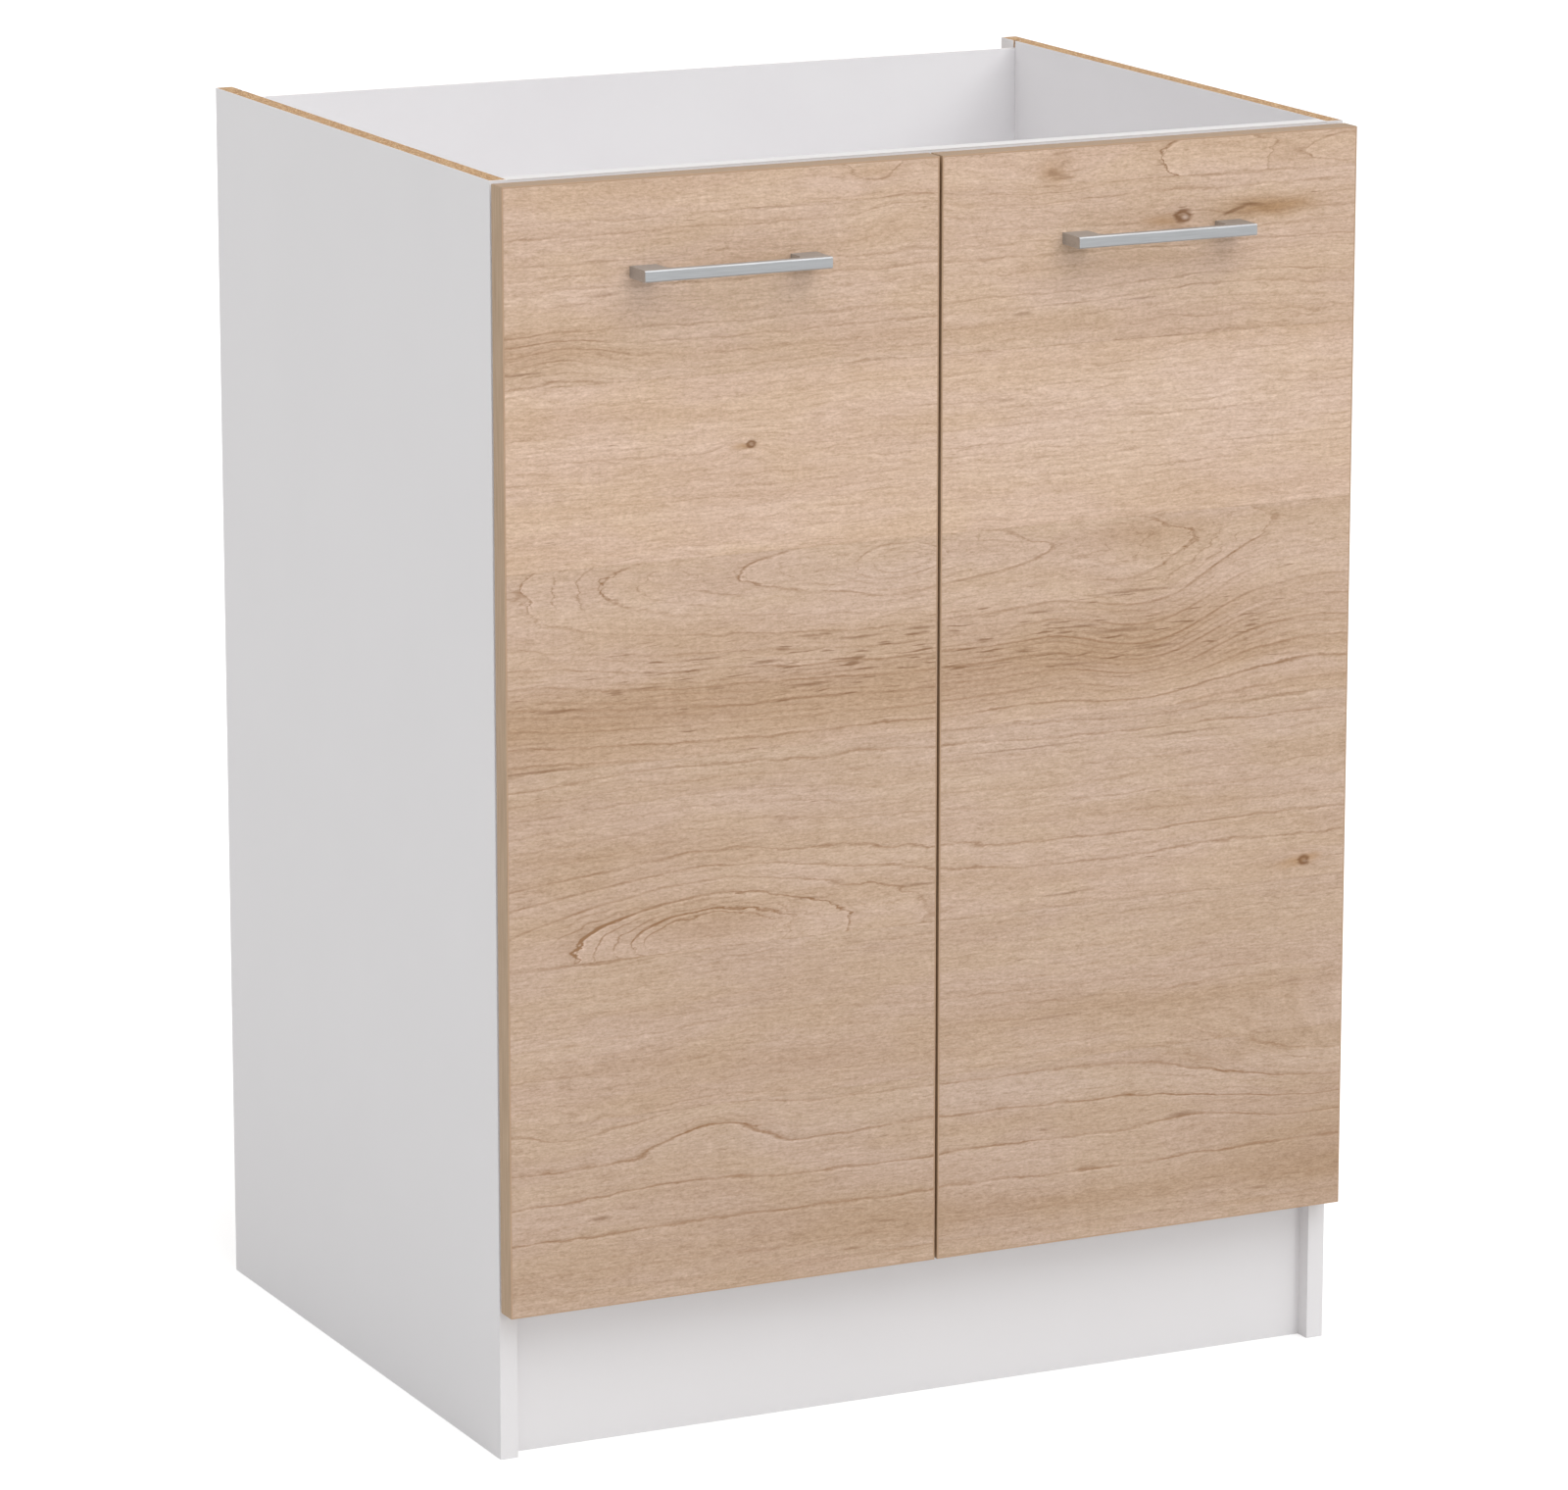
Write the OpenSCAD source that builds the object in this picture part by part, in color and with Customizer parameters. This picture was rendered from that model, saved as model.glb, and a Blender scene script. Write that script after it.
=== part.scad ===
// Two-door kitchen base cabinet without a worktop.
// Frame: +X to the right seen from the front, +Y to the back, +Z up, in millimetres.
// The origin is on the floor, at the middle of the overall width and depth.
// Left-hand pieces are written out, and right-hand ones are their mirror image.

/* [Cabinet] */
// Overall width, over the side panels
cab_w = 600; // [500:10:800]
// Height of the side panels, from the floor
cab_h = 820; // [760:10:900]
// Depth of the carcass, from its front edge to its rear edge
cab_d = 456; // [380:2:600]
// Thickness of the carcass boards
board_t = 12; // [12:0.5:18]
// Thickness of the bands on the boards' front edges
band_t = 0.8; // [0.4:0.1:1.5]

/* [Plinth and bottom] */
// Height of the plinth, which the bottom panel lies on
plinth_h = 100; // [80:5:160]
// How far the plinth stands behind the carcass front edge
plinth_recess = 11.5; // [5:0.5:60]

/* [Top rail and back] */
// Height of the upright rail between the side panels
rail_h = 80; // [60:5:90]
// Thickness of the back panel
back_t = 3; // [2.5:0.1:4]
// Distance from the rear edge to the back panel's inner face
back_inset = 21; // [12:0.5:40]
// How far the back panel stays below the top edges
back_drop = 5; // [0:1:20]
// Depth of the grooves that hold the back panel
groove_depth = 5; // [3:0.5:6]

/* [Shelf] */
// Height of the shelf's underside
shelf_z = 448; // [350:32:544]
// How far the shelf stands behind the carcass front edge
shelf_setback = 30; // [10:1:100]
// Gap between the shelf's ends and the side panels
shelf_end_gap = 1; // [0.5:0.5:2]
// Gap between the shelf's rear edge and the back panel
shelf_back_gap = 2; // [1:0.5:20]
// Distance of the shelf pins from the front and rear edges
pin_inset = 70; // [60:1:110]
// Diameter of the shelf pin holes
pin_d = 5; // [3:0.5:6]
// Distance between the shelf pin holes, one above the other
pin_pitch = 32; // [25:1:40]

/* [Doors] */
// Thickness of the doors
door_t = 16; // [16:0.5:19]
// Gap between a closed door and the carcass front edge
door_gap = 2.5; // [2:0.1:3]
// How far the doors reach down past the bottom panel's underside
door_lap = 1.5; // [0:0.5:12]
// How far the doors' top edge stays below the side panels' top
door_drop = 1.5; // [1:0.5:10]
// Gap between the two doors
door_mid_gap = 2; // [2:0.5:4]
// Thickness of the bands round the doors' edges
edging_t = 1; // [0.6:0.1:2]

/* [Handles] */
// Overall length of a handle
handle_l = 128; // [110:1:200]
// How far a handle stands out from the door
handle_proj = 23; // [20:1:35]
// Height of the handle's bar
handle_h = 7.4; // [7:0.1:12]
// Thickness of the handle's bar
handle_bar_t = 5.5; // [4:0.1:8]
// Width of a handle foot on the door
handle_foot_w = 18; // [14:0.5:24]
// Distance of the handle's middle from the door's top edge
handle_drop = 58; // [35:1:120]
// Nominal diameter of the handle screws
handle_screw_d = 4; // [3:0.5:4]

/* [Hinges] */
// Distance of a hinge from the door's top or bottom edge
hinge_end = 100; // [90:5:160]
// Distance of the hinge cup's middle from the door's side edge
cup_x = 22; // [21.5:0.5:23]
// Diameter of the hinge cup
cup_d = 35; // [35:0.5:36]
// Depth of the hinge cup in the door
cup_depth = 12.6; // [12.4:0.1:13]
// Diameter of the hinge pins
hinge_pin_d = 2.5; // [2:0.1:2.6]
// Distance of the mounting plate's screws from the carcass front edge
plate_inset = 37; // [35:0.5:42]
// Distance between the mounting plate's two screws
plate_pitch = 32; // [28:1:36]

/* [Fasteners] */
// Diameter of the cam lock housings
cam_d = 15; // [12:0.5:15]
// Distance from a board's end to the middle of its cam lock
cam_reach = 24; // [20:1:34]
// Diameter of the wooden dowels
dowel_d = 6; // [4:0.5:6]
// Length of the wooden dowels
dowel_l = 30; // [24:1:36]
// Depth of the fixing holes in the side panels
side_hole = 8; // [5:0.5:9]
// Diameter of the wood screws
screw_d = 3.5; // [3:0.1:4]

/* [Hidden] */
$fn = 48;

white = [0.86, 0.86, 0.86];
oak = [0.80, 0.69, 0.58];
oak_edge = [0.66, 0.57, 0.48];
satin = [0.65, 0.66, 0.67];
steel = [0.72, 0.73, 0.74];

// Radial clearance of a pin, dowel or screw in its hole
fit = 0.05;
// How far a cut runs past the face it starts from
over = 1;

// Carcass planes
front_y = -(handle_proj + door_t + door_gap + cab_d) / 2 + handle_proj + door_t + door_gap;
rear_y = front_y + cab_d;
side_x = -cab_w / 2;
in_x = side_x + board_t;
floor_top = plinth_h + board_t;
back_y = rear_y - back_inset;
plinth_back = front_y + plinth_recess + board_t;

// Door planes
door_w = (cab_w - door_mid_gap) / 2;
door_z0 = plinth_h - door_lap;
door_top = cab_h - door_drop;
door_back = front_y - door_gap;
door_front = door_back - door_t;
hinge_z = [door_top - hinge_end, door_z0 + hinge_end];
handle_x = side_x + door_w / 2;
handle_z = door_top - handle_drop;
handle_hole_x = (handle_l - handle_foot_w) / 2;

// A box from its lowest corner to its highest
module box(lo, hi) translate(lo) cube(hi - lo);

// A round bar that starts at a point and runs along +X, +Y or +Z
module rod(at, axis, r, l)
  translate(at)
    rotate(axis == "x" ? [0, 90, 0] : axis == "y" ? [-90, 0, 0] : [0, 0, 0])
      cylinder(r = r, h = l);

// The same piece on the right-hand side
module other_side() mirror([1, 0, 0]) children();

// Both a left-hand piece and its mirror image
module both_sides() {
  children();
  mirror([1, 0, 0]) children();
}

// Carcass

// Cams and dowels that join the bottom panel to the side panels, as distances from its
// front and rear edges, and those of the rail, as distances from its top edge
cam_inset = 50;
dowel_inset = 85;
rail_cam_drop = 24;
rail_dowel_drop = 48;
cam_ys = [front_y + cam_inset, back_y - cam_inset];
dowel_ys = [front_y + dowel_inset, back_y - dowel_inset];
bottom_mid_z = plinth_h + board_t / 2;
rail_mid_y = front_y + board_t / 2;
rail_cam_z = cab_h - rail_cam_drop;
rail_dowel_z = cab_h - rail_dowel_drop;
cam_r = cam_d / 2;
bolt_r = 2.5;
bolt_neck_r = 1.8;
bolt_head_r = 2.9;
bolt_head_l = 4;
// Channel that lets a bolt's head into its cam lock
channel_r = 3.4;
// Height of a cam lock, whose top covers that channel
cam_t = board_t / 2 + channel_r + 0.1;
cam_slot_l = 6;
cam_slot_w = 1;
cam_slot_depth = 1.6;
dowel_r = dowel_d / 2;
// Part of a dowel's hole that lies in the bottom panel or the rail, a little longer than the dowel
dowel_play = 1;
dowel_hole = dowel_l - side_hole + dowel_play;
screw_r = screw_d / 2;
screw_head_r = screw_d;
screw_head_t = 2;
// Length of a screw in its board
screw_l = 9;
// Half the width of a screw's cross recess
recess_half = 0.35;
pin_z = shelf_z - pin_d / 2;
pin_ys = [front_y + pin_inset, back_y - pin_inset];
bracket_t = 3;
bracket_w = 20;
bracket_h = 50;
bracket_z = 25;
bracket_mid_z = bracket_z + bracket_h / 2;
// Screws in the middle of each bracket leg
bracket_screw_x = in_x + bracket_w / 2 + bracket_t / 2;
bracket_screw_y = plinth_back + bracket_w / 2 + bracket_t / 2;
nail_r = 0.8;
nail_head_r = 2;
nail_head_t = 0.8;
nail_l = 20;
nail_inset = 40;
nail_count = 5;
nail_step = (cab_w - 2 * board_t - 2 * nail_inset) / (nail_count - 1);
nail_xs = [for (i = [0 : nail_count - 1]) in_x + nail_inset + i * nail_step];
// Play of the back panel in its grooves, at its faces and at its ends
groove_play = 0.1;
groove_end_play = 0.5;

// Holes in the inner face of the left side panel
module side_holes() {
  for (y = cam_ys) rod([in_x - side_hole, y, bottom_mid_z], "x", bolt_r + fit, side_hole + over);
  for (y = dowel_ys) rod([in_x - side_hole, y, bottom_mid_z], "x", dowel_r + fit, side_hole + over);
  rod([in_x - side_hole, rail_mid_y, rail_cam_z], "x", bolt_r + fit, side_hole + over);
  rod([in_x - side_hole, rail_mid_y, rail_dowel_z], "x", dowel_r + fit, side_hole + over);
  for (y = pin_ys, k = [-1 : 1])
    rod([in_x - side_hole, y, pin_z + k * pin_pitch], "x", pin_d / 2 + fit, side_hole + over);
  for (z = hinge_z, s = [-1, 1])
    rod([in_x - screw_l, front_y + plate_inset, z + s * plate_pitch / 2], "x",
        screw_r + fit, screw_l + over);
  rod([in_x - screw_l, bracket_screw_y, bracket_mid_z], "x", screw_r + fit, screw_l + over);
}

module side_panel() {
  color(white) difference() {
    box([side_x, front_y + band_t, 0], [in_x, rear_y, cab_h]);
    box([in_x - groove_depth, back_y - groove_play, -over],
        [in_x + over, back_y + back_t + groove_play, cab_h + over]);
    side_holes();
  }
}

module side_edge_band() {
  color(white) box([side_x, front_y, 0], [in_x, front_y + band_t, cab_h]);
}

module bottom_panel() {
  color(white) difference() {
    box([in_x, front_y + band_t, plinth_h], [-in_x, back_y, floor_top]);
    both_sides() {
      for (y = cam_ys) {
        rod([in_x + cam_reach, y, plinth_h - over], "z", cam_r, cam_t + over);
        rod([in_x - over, y, bottom_mid_z], "x", channel_r, cam_reach + over);
      }
      for (y = dowel_ys) rod([in_x - over, y, bottom_mid_z], "x", dowel_r + fit, dowel_hole + over);
    }
    for (x = nail_xs) rod([x, back_y - nail_l + back_t, bottom_mid_z], "y", nail_r + fit, nail_l);
  }
}

module bottom_edge_band() {
  color(white) box([in_x, front_y, plinth_h], [-in_x, front_y + band_t, floor_top]);
}

module back_panel() {
  color(white) difference() {
    box([in_x - groove_depth + groove_end_play, back_y, plinth_h],
        [-in_x + groove_depth - groove_end_play, back_y + back_t, cab_h - back_drop]);
    for (x = nail_xs) rod([x, back_y - over, bottom_mid_z], "y", nail_r + fit, back_t + 2 * over);
  }
}

module back_panel_nails() {
  color(steel) for (x = nail_xs) {
    rod([x, back_y + back_t - nail_l, bottom_mid_z], "y", nail_r, nail_l);
    rod([x, back_y + back_t, bottom_mid_z], "y", nail_head_r, nail_head_t);
  }
}

module front_rail() {
  color(white) difference() {
    box([in_x, front_y, cab_h - rail_h], [-in_x, front_y + board_t, cab_h - band_t]);
    both_sides() {
      rod([in_x + cam_reach, front_y + board_t - cam_t, rail_cam_z], "y", cam_r, cam_t + over);
      rod([in_x - over, rail_mid_y, rail_cam_z], "x", channel_r, cam_reach + over);
      rod([in_x - over, rail_mid_y, rail_dowel_z], "x", dowel_r + fit, dowel_hole + over);
    }
  }
}

module rail_edge_band() {
  color(white) box([in_x, front_y, cab_h - band_t], [-in_x, front_y + board_t, cab_h]);
}

module plinth_board() {
  color(white) difference() {
    box([in_x, plinth_back - board_t, 0], [-in_x, plinth_back, plinth_h]);
    both_sides()
      rod([bracket_screw_x, plinth_back - screw_l, bracket_mid_z], "y", screw_r + fit, screw_l + over);
  }
}

module plinth_brackets() {
  color("whitesmoke") both_sides() difference() {
    union() {
      translate([in_x, plinth_back, bracket_z]) {
        cube([bracket_t, bracket_w, bracket_h]);
        cube([bracket_w, bracket_t, bracket_h]);
      }
      translate([in_x + bracket_t, plinth_back + bracket_t, bracket_z])
        linear_extrude(bracket_t) polygon([[0, 0], [bracket_w - bracket_t, 0], [0, bracket_w - bracket_t]]);
    }
    rod([bracket_screw_x, plinth_back - over, bracket_mid_z], "y", screw_r + fit, bracket_t + 2 * over);
    rod([in_x - over, bracket_screw_y, bracket_mid_z], "x", screw_r + fit, bracket_t + 2 * over);
  }
}

// A cross-recessed screw: its head starts at z = 0, and its shank runs down from there
module wood_screw(l, shank_r = screw_r, head_r = screw_head_r, head_t = screw_head_t) {
  difference() {
    union() {
      translate([0, 0, -l]) cylinder(r = shank_r, h = l);
      cylinder(r1 = head_r, r2 = head_r * 0.7, h = head_t);
    }
    for (a = [0, 90]) rotate(a)
      box([-head_r / 2, -recess_half, head_t * 0.4], [head_r / 2, recess_half, head_t + over]);
  }
}

module plinth_screws() {
  color(steel) both_sides() {
    translate([in_x + bracket_t, bracket_screw_y, bracket_mid_z]) rotate([0, 90, 0])
      wood_screw(bracket_t + screw_l);
    translate([bracket_screw_x, plinth_back + bracket_t, bracket_mid_z]) rotate([-90, 0, 0])
      wood_screw(bracket_t + screw_l);
  }
}

// A cam lock, its open face at z = 0 and its bolt coming in along -X at half the board's thickness
module cam_lock() {
  difference() {
    cylinder(r = cam_r - fit, h = cam_t);
    translate([0, 0, board_t / 2]) rotate([0, -90, 0]) cylinder(r = channel_r, h = cam_d);
    translate([0, 0, board_t / 2]) sphere(r = channel_r);
    for (a = [45, 135]) rotate(a)
      box([-cam_slot_l / 2, -cam_slot_w / 2, -over], [cam_slot_l / 2, cam_slot_w / 2, cam_slot_depth]);
  }
}

module cam_locks() {
  color(steel) both_sides() {
    for (y = cam_ys) translate([in_x + cam_reach, y, plinth_h]) cam_lock();
    translate([in_x + cam_reach, front_y + board_t, rail_cam_z]) rotate([90, 0, 0]) cam_lock();
  }
}

// A bolt that starts inside the side panel and ends in the middle of its cam lock
module cam_bolt() {
  rod([-side_hole, 0, 0], "x", bolt_r, side_hole);
  rod([0, 0, 0], "x", bolt_neck_r, cam_reach);
  rod([cam_reach - bolt_head_l / 2, 0, 0], "x", bolt_head_r, bolt_head_l);
}

module cam_bolts() {
  color(steel) both_sides() {
    for (y = cam_ys) translate([in_x, y, bottom_mid_z]) cam_bolt();
    translate([in_x, rail_mid_y, rail_cam_z]) cam_bolt();
  }
}

module wooden_dowels() {
  color("burlywood") both_sides() {
    for (y = dowel_ys) rod([in_x - side_hole, y, bottom_mid_z], "x", dowel_r, dowel_l);
    rod([in_x - side_hole, rail_mid_y, rail_dowel_z], "x", dowel_r, dowel_l);
  }
}

// Shelf

shelf_y0 = front_y + shelf_setback;

module shelf() {
  color(white) box([in_x + shelf_end_gap, shelf_y0 + band_t, shelf_z],
                   [-in_x - shelf_end_gap, back_y - shelf_back_gap, shelf_z + board_t]);
}

module shelf_edge_band() {
  color(white) box([in_x + shelf_end_gap, shelf_y0, shelf_z],
                   [-in_x - shelf_end_gap, shelf_y0 + band_t, shelf_z + board_t]);
}

// Width, length and thickness of the pad that a shelf pin holds the shelf up with,
// and of the rib under the pad
pad_w = 12;
pad_l = 10;
pad_t = 2;
rib_w = 2;
rib_l = 7;
collar_l = 1;

module shelf_pins() {
  color(steel) both_sides() for (y = pin_ys) {
    rod([in_x - side_hole, y, pin_z], "x", pin_d / 2, side_hole);
    box([in_x, y - pad_w / 2, shelf_z - pad_t], [in_x + pad_l, y + pad_w / 2, shelf_z]);
    box([in_x, y - rib_w / 2, shelf_z - pin_d], [in_x + rib_l, y + rib_w / 2, shelf_z - pad_t]);
    rod([in_x, y, pin_z], "x", pin_d / 2, collar_l);
  }
}

// Doors

handle_screw_r = handle_screw_d / 2;
handle_screw_head_r = 4;
handle_screw_head_t = 2.2;
handle_screw_slot = 0.8;
// Clearance of the handle screws in the door
handle_screw_fit = 0.1;
// Length of a handle screw in the handle, and how much deeper its hole is
handle_thread = 11;
thread_play = 1;
bumper_r = 4;
// Gap that is left where two closed pieces almost meet
rest_gap = 0.3;
bumper_t = door_gap - rest_gap;
// Places of the bumpers: across the door from its free edge, and down from its top edge
bumper_inset = 14;
bumper_drop = 12;
bumper_x = side_x + door_w - bumper_inset;
bumper_zs = [door_top - bumper_drop, bottom_mid_z];
cup_r = cup_d / 2;
// Distance of the cup screws from the cup's middle, towards the door's free edge
cup_screw_in = 9.5;
cup_screw_x = side_x + cup_x + cup_screw_in;
// Distance of a cup screw from the hinge's middle
cup_screw_z = 22.5;
cup_screw_l = 10;
flange_t = 0.8;

// A screw point on the door for each end of the handle
module at_handle_holes()
  for (s = [-1, 1]) translate([handle_x + s * handle_hole_x, 0, handle_z]) children();

// A point on the door for each hinge cup screw
module at_cup_screws()
  for (z = hinge_z, s = [-1, 1]) translate([cup_screw_x, 0, z + s * cup_screw_z]) children();

// The countersunk head of a handle screw, or its seat in the door, with some clearance
module countersink(play)
  translate([0, door_back - handle_screw_head_t, 0]) rotate([-90, 0, 0])
    cylinder(r1 = handle_screw_r + play, r2 = handle_screw_head_r + play, h = handle_screw_head_t);

module door_board() {
  color(oak) difference() {
    box([side_x + edging_t, door_front, door_z0 + edging_t],
        [side_x + door_w - edging_t, door_back, door_top - edging_t]);
    for (z = hinge_z) rod([side_x + cup_x, door_back - cup_depth, z], "y", cup_r, cup_depth + over);
    at_cup_screws() rod([0, door_back - cup_screw_l, 0], "y", screw_r + fit, cup_screw_l + over);
    at_handle_holes() {
      rod([0, door_front - over, 0], "y", handle_screw_r + handle_screw_fit, door_t + 2 * over);
      countersink(handle_screw_fit);
    }
  }
}

// Two upright strips as high as the door, and two level ones between them
module door_edging() {
  color(oak_edge) {
    for (x = [side_x, side_x + door_w - edging_t])
      box([x, door_front, door_z0], [x + edging_t, door_back, door_top]);
    for (z = [door_z0, door_top - edging_t])
      box([side_x + edging_t, door_front, z], [side_x + door_w - edging_t, door_back, z + edging_t]);
  }
}

module door_bumpers() {
  color("lightgray") for (z = bumper_zs)
    translate([bumper_x, door_back, z]) rotate([-90, 0, 0])
      cylinder(r1 = bumper_r, r2 = bumper_r * 0.7, h = bumper_t);
}

// Handles

handle_fillet = 5;
handle_bevel = 0.8;

// The handle seen from above: two feet on the door face (y = 0) and the bar across them
module handle_plan() {
  inner_x = handle_l / 2 - handle_foot_w;
  inner_y = handle_proj - handle_bar_t;
  difference() {
    translate([-handle_l / 2, -handle_proj]) square([handle_l, handle_proj]);
    translate([-inner_x, -inner_y]) square([2 * inner_x, handle_proj]);
  }
  for (m = [0, 1]) mirror([m, 0]) translate([-inner_x, -inner_y]) difference() {
    square(handle_fillet);
    translate([handle_fillet, handle_fillet]) circle(handle_fillet);
  }
}

// The same seen from the end, its two front edges bevelled
module handle_end() {
  half = handle_h / 2;
  polygon([[0, -half], [handle_bevel - handle_proj, -half], [-handle_proj, handle_bevel - half],
           [-handle_proj, half - handle_bevel], [handle_bevel - handle_proj, half], [0, half]]);
}

module handle() {
  color(satin) difference() {
    translate([handle_x, door_front, handle_z]) intersection() {
      linear_extrude(handle_h, center = true) handle_plan();
      translate([-handle_l / 2, 0, 0]) rotate([90, 0, 90]) linear_extrude(handle_l) handle_end();
    }
    at_handle_holes() rod([0, door_front - handle_thread - thread_play, 0], "y", handle_screw_r + fit,
                          handle_thread + thread_play + over);
  }
}

// Countersunk screws, their heads level with the door's back
module handle_screws() {
  color(steel) at_handle_holes() difference() {
    union() {
      rod([0, door_front - handle_thread, 0], "y", handle_screw_r, door_t + handle_thread);
      countersink(0);
    }
    for (a = [0, 90]) translate([0, door_back, 0]) rotate([0, a, 0])
      box([-handle_screw_r, -over, -handle_screw_slot / 2], [handle_screw_r, over, handle_screw_slot / 2]);
  }
}

// Hinges
// Each is drawn in its own frame: x from the side panel's outer face, y from the carcass
// front edge, z from its middle. Two links join the arm on the carcass to the cup in the door.

pin_r = hinge_pin_d / 2;
// Pivots of the long and the short link on the arm
pivot_a = [36, 3.6];
pivot_b = [31, 0];
// Pivots of the long and the short link in the cup
pivot_c = [cup_x - 9.9, -door_gap - 4];
pivot_d = [cup_x - 10, -door_gap - 9.4];
// How far the door opens, and how far each link turns against it meanwhile
door_open = 95;
long_turn = door_open * 1.3125;
short_turn = door_open * 1.14375;
// Half widths of the links, and the radius of their pins' eyes
long_r = 2;
short_r = 1.3;
eye_r = pin_r + 1.25;
short_eye_r = eye_r - 0.2;
// Each layer of the hinge, as its inner and outer distance from the hinge's middle
long_z = 2.5;
ear_z = [2.8, 4.4];
short_z = [4.7, 6.3];
cheek_z = [6.7, 8.1];
lug_z = [6.7, 8.5];
// Cup: its floor and wall, the flange round its rim, its screw wings and its pins' tabs
cup_floor = 0.8;
cup_wall = 1;
flange_rim = 1.2;
wing_r = 5.5;
tab_r = 2.2;
cup_floor_y = -door_gap - cup_depth + cup_floor;
// How far the short link's open fork reaches past its arm pin, and its play on that pin
fork_l = 3.9;
fork_play = 0.4;
// Mounting plate: its screw wings, and the raised block that the arm sits on
plate_t = 2;
plate_w = 12;
plate_l = plate_pitch + 16;
block_t = 8;
block_half = 6.2;
block_ys = [plate_inset - 13, plate_inset + 23];
// Arm: its web on the block, its web over the long link, and where its sides end
arm_t = 1.4;
arm_low = board_t + block_t + arm_t;
arm_high = pivot_a.x + eye_r + 0.1;
arm_foot = board_t + plate_t + 0.4;
arm_rear = block_ys[1] + 3;
arm_web_y = pivot_a.y + 3.2;
arm_slope_ys = [pivot_a.y + 10, block_ys[0] + 5.6];
arm_screw_r = 2;
arm_screw_head_r = 3.4;
arm_screw_head_t = 1.8;
arm_screw_ys = [plate_inset - 1, plate_inset + 14];
arm_screw_play = 0.5;

// A point turned about another by an angle
function turned(p, c, a) =
  c + [cos(a) * (p.x - c.x) - sin(a) * (p.y - c.y), sin(a) * (p.x - c.x) + cos(a) * (p.y - c.y)];

// Where a link bends, so that it passes over the cup's rim when the door is open.
// z is the link's outer face, where the cup's wall comes nearest.
function bend(pivot, r, z, turn) =
  let (rim_x = cup_x - sqrt(pow(cup_r - cup_wall, 2) - z * z), rim_y = -door_gap + flange_t)
    turned([rim_x + r + rest_gap, rim_y + r + rest_gap], pivot, -turn);

long_bend = bend(pivot_c, long_r, long_z, long_turn);
short_bend = bend(pivot_d, short_r, short_z[1], short_turn);

module at_hinge(i) translate([side_x, front_y, hinge_z[i]]) children();

// A flat shape between two heights, and again mirrored below the hinge's middle
module layer_pair(zs)
  for (m = [0, 1]) mirror([0, 0, m]) translate([0, 0, zs[0]]) linear_extrude(zs[1] - zs[0]) children();

// A pin between two heights, and again below the middle
module pin_pair(p, zs) layer_pair(zs) translate(p) circle(pin_r);

// A round-ended bar from one point to another, a hair narrower than its ends
module bar(p, q, r) {
  half = r - 0.02;
  translate(p) circle(r);
  translate(q) circle(r);
  translate(p) rotate(atan2(q.y - p.y, q.x - p.x)) translate([0, -half]) square([norm(q - p), 2 * half]);
}

// An upright tab that holds a pin in the cup, rooted in the cup's floor
module tab(p) {
  root_y = cup_floor_y - cup_floor / 2;
  difference() {
    union() {
      translate(p) circle(tab_r);
      translate([p.x - tab_r, root_y]) square([2 * tab_r, p.y - root_y]);
    }
    translate(p) circle(pin_r + fit);
  }
}

module hinge_cup(i) {
  wing_x = cup_x + cup_screw_in;
  color(steel) at_hinge(i) {
    difference() {
      union() {
        rod([cup_x, -door_gap - cup_depth, 0], "y", cup_r - fit, cup_depth + flange_t);
        rod([cup_x, -door_gap, 0], "y", cup_r + flange_rim, flange_t);
        translate([0, -door_gap, 0]) {
          box([wing_x - wing_r, 0, -cup_screw_z], [wing_x + wing_r, flange_t, cup_screw_z]);
          for (s = [-1, 1]) rod([wing_x, 0, s * cup_screw_z], "y", wing_r, flange_t);
        }
      }
      rod([cup_x, cup_floor_y, 0], "y", cup_r - cup_wall, cup_depth + 2 * over);
      for (s = [-1, 1]) rod([wing_x, -door_gap - over, s * cup_screw_z], "y", screw_r + fit, 3 * over);
    }
    layer_pair(ear_z) tab(pivot_c);
    layer_pair(lug_z) tab(pivot_d);
  }
}

module cup_pins() {
  color(steel) for (i = [0, 1]) at_hinge(i) {
    translate(pivot_c) cylinder(r = pin_r, h = 2 * ear_z[1], center = true);
    pin_pair(pivot_d, [short_z[0], lug_z[1]]);
  }
}

module arm_pins() {
  color(steel) for (i = [0, 1]) at_hinge(i) {
    translate(pivot_a) cylinder(r = pin_r, h = 2 * cheek_z[1], center = true);
    pin_pair(pivot_b, [short_z[0], cheek_z[1]]);
  }
}

module long_link(i) {
  color(steel) at_hinge(i) linear_extrude(2 * long_z, center = true) difference() {
    union() {
      bar(pivot_c, long_bend, long_r);
      bar(long_bend, pivot_a, long_r);
      translate(pivot_c) circle(eye_r);
      translate(pivot_a) circle(eye_r);
    }
    translate(pivot_c) circle(pin_r + fit);
    translate(pivot_a) circle(pin_r + fit);
  }
}

// A pair of straps, pinned in the cup and forked over the arm's pins
module short_link(i) {
  way = (pivot_b - pivot_d) / norm(pivot_b - pivot_d);
  slot_r = pin_r + fork_play;
  fork_r = slot_r + 1;
  color(steel) at_hinge(i) layer_pair(short_z) difference() {
    union() {
      bar(pivot_d, short_bend, short_r);
      bar(short_bend, pivot_b, short_r);
      translate(pivot_d) circle(short_eye_r);
      translate(pivot_b) {
        circle(fork_r);
        rotate(atan2(way.y, way.x)) translate([0, -fork_r + 0.02]) square([fork_l, 2 * fork_r - 0.04]);
      }
    }
    bar(pivot_b, pivot_b + way * 2 * fork_l, slot_r);
    translate(pivot_d) circle(pin_r + fit);
  }
}

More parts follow.
